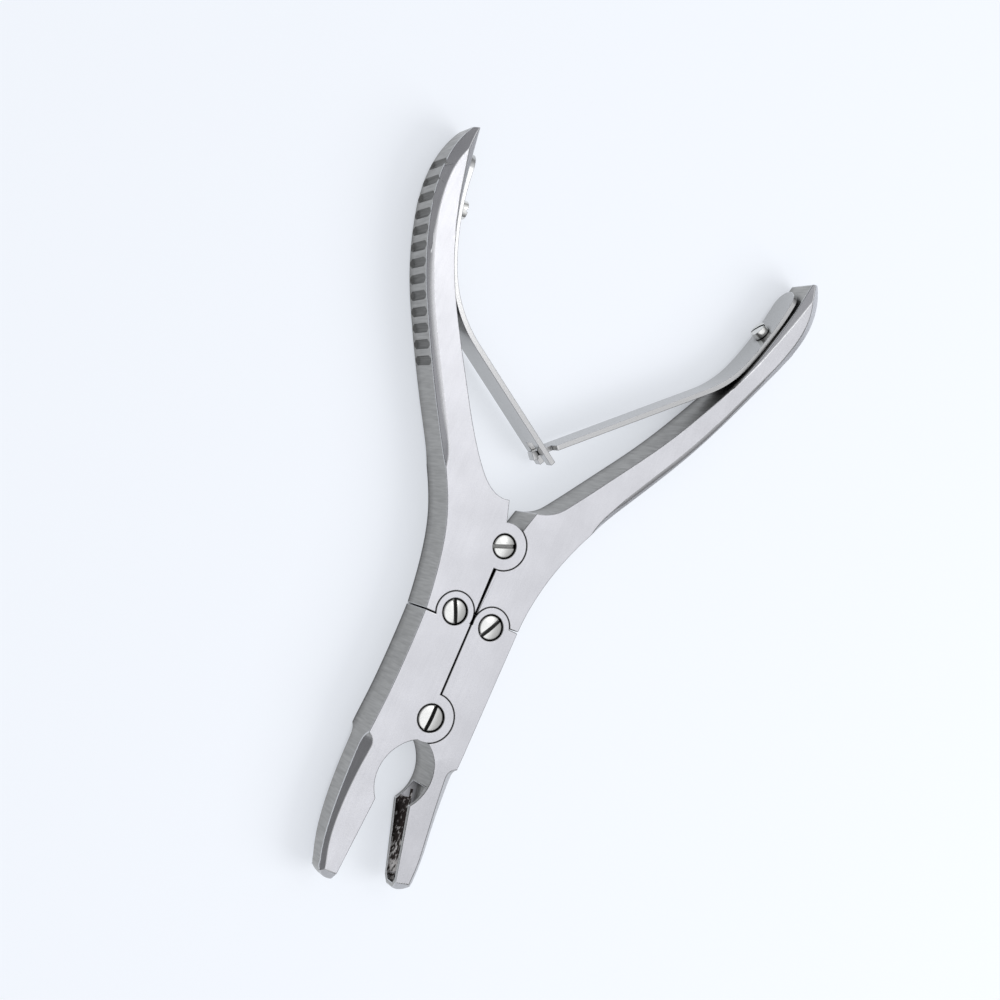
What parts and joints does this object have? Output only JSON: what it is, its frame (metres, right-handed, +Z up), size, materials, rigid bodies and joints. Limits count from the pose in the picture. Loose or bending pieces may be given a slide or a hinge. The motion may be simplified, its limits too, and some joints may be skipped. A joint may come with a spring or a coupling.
{
  "type": "bone rongeur",
  "caption": "Double-action surgical bone rongeur with cupped jaws, linked flush-screwed box joint, curved ribbed handles and crossed leaf springs.",
  "frame": {"origin": "where the axis of the handle pivot meets the flat underside of the box joint", "axes": "+Y along the centre line from the jaws to the handles, +X to the right handle, +Z up out of the surface the instrument lies on"},
  "size_m": [0.1031, 0.1754, 0.0117],
  "materials": {
    "satin_steel": "satin brushed stainless steel",
    "polished_steel": "bright turned stainless steel",
    "spring_steel": "polished spring steel"
  },
  "bodies": {
    "left_handle": {"left_handle": "satin_steel", "left_link_screw": "polished_steel", "left_spring": "spring_steel", "left_spring_screw": "polished_steel"},
    "right_handle": {"right_handle": "satin_steel", "handle_pivot_screw": "polished_steel", "right_link_screw": "polished_steel", "right_spring": "spring_steel", "right_spring_screw": "polished_steel"},
    "left_jaw": {"left_jaw": "satin_steel"},
    "right_jaw": {"right_jaw": "satin_steel", "jaw_pivot_screw": "polished_steel"}
  },
  "joints": [
    {"name": "handle_pivot", "type": "hinge", "parent": "left_handle", "child": "right_handle", "pos_m": [0, 0, 0.00575], "axis": [0, 0, 1], "range_deg": [0, 26.9], "stiffness_Nm_per_rad": 0.9, "springref_deg": -6.88, "deforming": ["left_spring", "right_spring"]},
    {"name": "left_link_pivot", "type": "hinge", "parent": "left_handle", "child": "left_jaw", "pos_m": [-0.00485, -0.018, 0.00575], "axis": [0, 0, 1], "range_deg": [0, 23.76]},
    {"name": "right_link_pivot", "type": "hinge", "parent": "right_handle", "child": "right_jaw", "pos_m": [0.00485, -0.018, 0.00575], "axis": [0, 0, 1], "range_deg": [-23.76, 0]}
  ],
  "couplings": [
    {"joint": "left_link_pivot", "follows": "handle_pivot", "ratio": 0.872},
    {"joint": "right_link_pivot", "follows": "handle_pivot", "ratio": -0.872}
  ]
}
